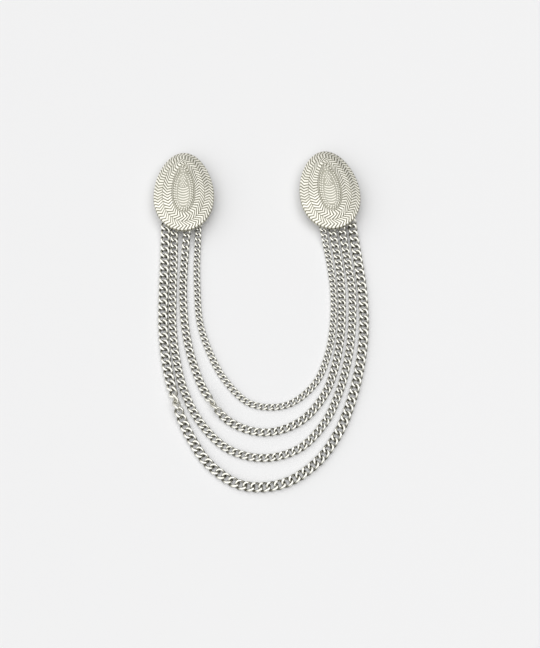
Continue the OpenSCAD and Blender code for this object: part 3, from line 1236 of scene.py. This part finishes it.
@dataclass
class PinBack:
    """The hidden pin behind a plate, whose node stays as it is.

    Attributes:
        side: Which brooch it is.
        edge: Width of the rounding along its edges.
        steps: Steps across the rounding.
    """

    side: Side
    edge: float = 0.12
    steps: int = 2

    def dress(self, finish: bpy.types.Material) -> bpy.types.Object:
        """Rounds the edges of the node and gives it its finish.

        Args:
            finish: The pin's metal.

        Returns:
            The node's object.
        """
        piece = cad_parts[f"pin_{self.side.value}"]
        rounding = piece.modifiers.new("rounded_edges", "BEVEL")
        rounding.width = self.edge * MM
        rounding.segments = self.steps
        rounding.limit_method = "ANGLE"
        piece.data.materials.clear()
        piece.data.materials.append(finish)
        return piece


def aimed(name: str, data: bpy.types.ID, place: Vector, back: Vector) -> bpy.types.Object:
    """Puts up a camera or a lamp.

    Args:
        name: Its name.
        data: Its data.
        place: Its place, in metres.
        back: The direction that it has behind it.

    Returns:
        The object.
    """
    thing = bpy.data.objects.new(name, data)
    thing.location = place
    thing.rotation_mode = "QUATERNION"
    thing.rotation_quaternion = (-back).to_track_quat("-Z", "Y")
    bpy.context.scene.collection.objects.link(thing)
    return thing


@dataclass
class Studio:
    """Floor, lights and camera.

    Attributes:
        target: Point of the floor at the middle of the picture.
        elevation: The camera's angle above the floor, in degrees.
        distance: From the camera to that point.
        focal: Distance from eye to picture, in the photograph's pixels.
        sensor: Width of the camera's sensor.
        nearest: Nearest distance that the camera sees.
        floor_half: Half the floor's width.
        floor_drop: How far the floor lies under the part, so that the two never flicker.
        bright_side: Direction of the brightest part of the room.
        room_levels: Brightness of the room, as pairs of the cosine to its bright side and the level.
        room_strength: Strength of the room's light.
        key_place: Place of the key softbox, in metres.
        key_size: Its side, in metres.
        key_power: Its power, in watts.
    """

    target: Point = (4.75, -4.3)
    elevation: float = 65.0
    distance: float = 542.7
    focal: float = 1277.0
    sensor: float = 36.0
    nearest: float = 10.0
    floor_half: float = 15000.0
    floor_drop: float = 0.02
    bright_side: Triple = (-0.4, 0.0, 0.9)
    room_levels: tuple[Pair, ...] = ((0.25, 0.02), (0.42, 0.45), (0.54, 0.95), (0.75, 1.0))
    room_strength: float = 1.285
    key_place: Triple = (1.9, -0.1, 2.8)
    key_size: float = 2.0
    key_power: float = 15.0

    def add_floor(self) -> None:
        """Lays the floor."""
        h = self.floor_half * MM
        mesh = bpy.data.meshes.new("floor")
        below = -self.floor_drop * MM
        corners = [(-h, -h, below), (h, -h, below), (h, h, below), (-h, h, below)]
        mesh.from_pydata(corners, [], [(0, 1, 2, 3)])
        mesh.materials.append(PALE_FLOOR.material())
        floor = bpy.data.objects.new("floor", mesh)
        bpy.context.scene.collection.objects.link(floor)

    def add_camera(self) -> None:
        """Sets up the camera at the photograph's angle."""
        data = bpy.data.cameras.new("camera")
        data.sensor_width = self.sensor
        data.lens = data.sensor_width * self.focal / max(PHOTO_SIZE)
        data.clip_start = self.nearest * MM
        angle = math.radians(self.elevation)
        back = Vector((0.0, -math.cos(angle), math.sin(angle)))
        place = Vector((*self.target, 0.0)) * MM + back * self.distance * MM
        bpy.context.scene.camera = aimed("camera", data, place, back)

    def add_key_softbox(self) -> None:
        """Hangs the square key softbox, which faces the object."""
        data = bpy.data.lights.new("key_softbox", "AREA")
        data.size = self.key_size
        data.energy = self.key_power
        aimed("key_softbox", data, Vector(self.key_place), Vector(self.key_place))

    def add_room(self) -> None:
        """Sets the room's own soft light, bright overhead and on the left, and dark low on the right."""
        world = bpy.data.worlds.new("room")
        world.use_nodes = True
        bpy.context.scene.world = world
        nodes, links = world.node_tree.nodes, world.node_tree.links
        place = nodes.new("ShaderNodeTexCoord")
        towards = nodes.new("ShaderNodeVectorMath")
        towards.operation = "DOT_PRODUCT"
        towards.inputs[1].default_value = Vector(self.bright_side).normalized()
        links.new(place.outputs["Generated"], towards.inputs[0])
        ramp = nodes.new("ShaderNodeValToRGB")
        stops = ramp.color_ramp.elements
        (stops[0].position, low), (stops[1].position, high) = self.room_levels[0], self.room_levels[-1]
        stops[0].color = (low, low, low, 1.0)
        stops[1].color = (high, high, high, 1.0)
        for height, level in self.room_levels[1:-1]:
            stops.new(height).color = (level, level, level, 1.0)
        links.new(towards.outputs["Value"], ramp.inputs["Fac"])
        background = nodes["Background"]
        links.new(ramp.outputs["Color"], background.inputs["Color"])
        background.inputs["Strength"].default_value = self.room_strength

    def build(self) -> None:
        """Sets the whole stage."""
        self.add_floor()
        self.add_camera()
        self.add_room()
        self.add_key_softbox()
        bpy.context.scene.view_settings.view_transform = "Standard"


# Points of the chains' routes on the floor, chosen from the photo, from the left plate on
OUTER_ROUTE = [(-41, 25), (-41, 9), (-40.5, -7), (-38.5, -23), (-34.5, -39), (-28.5, -54),
               (-19.5, -67.5), (-6.5, -76), (9.5, -75.5), (23, -67), (32.5, -54), (38.5, -39),
               (42.5, -23), (44.5, -7), (44.5, 9), (43, 25)]
THIRD_ROUTE = [(-37, 25), (-37, 9.5), (-36.5, -6), (-34.5, -21), (-30.5, -36), (-23.5, -49.5),
               (-12.5, -60.5), (2, -64.5), (16.5, -60.5), (27, -49.5), (33.5, -35.5),
               (37.5, -20.5), (39.5, -5.5), (40, 10), (38.5, 25)]
SECOND_ROUTE = [(-32.5, 24), (-32.5, 8), (-31, -7.5), (-27.5, -22.5), (-21.5, -37),
                (-11.5, -49), (3, -53.5), (17.5, -48.5), (27.5, -36.5), (32.5, -22),
                (35, -6.5), (35.5, 9), (34.5, 24.5)]
INNER_ROUTE = [(-27, 26), (-26.5, 11), (-25, -4), (-20.5, -18), (-13.5, -31), (-3, -41),
               (11.5, -41.5), (23, -32.5), (29, -19), (31.5, -4.5), (32, 10.5), (30.5, 25.5)]

CHAINS = [
    CurbChain("outer", wire=0.95, width=4.2, pitch=3.17, route=OUTER_ROUTE, twists=(Twist(0.302, 5.5),)),
    CurbChain("third", wire=0.8, width=3.4, pitch=2.77, route=THIRD_ROUTE),
    CurbChain("second", wire=0.8, width=3.4, pitch=2.72, route=SECOND_ROUTE, twists=(Twist(0.382, 4.5),)),
    CurbChain("inner", wire=0.66, width=2.8, pitch=2.37, route=INNER_ROUTE),
]
LEFT_PLATE = Plate(Side.LEFT, at=(-33.4, 58.2), turn=2.0, loops=(221, 200, 174, 149))
RIGHT_PLATE = Plate(Side.RIGHT, at=(31.0, 59.1), turn=7.0, loops=(142, 167, 187, 206))


def main() -> None:
    """Builds the pieces in order, and the stage around them."""
    logging.basicConfig(level=logging.INFO, format="%(name)s: %(message)s")
    Studio().build()
    plate_metal = CAST_SILVER.material()
    chain_metal = CHAIN_SILVER.material()
    pin_metal = PIN_STEEL.material()
    for plate in (LEFT_PLATE, RIGHT_PLATE):
        piece = plate.build(CHAINS)
        plate.dress(piece, plate_metal)
        log.info("%s: %d faces", piece.name, len(piece.data.polygons))
    for k, chain in enumerate(CHAINS):
        piece = chain.build(LEFT_PLATE, RIGHT_PLATE, k)
        chain.dress(piece, chain_metal)
        log.info("%s: %d faces", piece.name, len(piece.data.polygons))
    for side in Side:
        piece = PinBack(side).dress(pin_metal)
        log.info("%s dressed", piece.name)


if __name__ == "__main__":
    main()
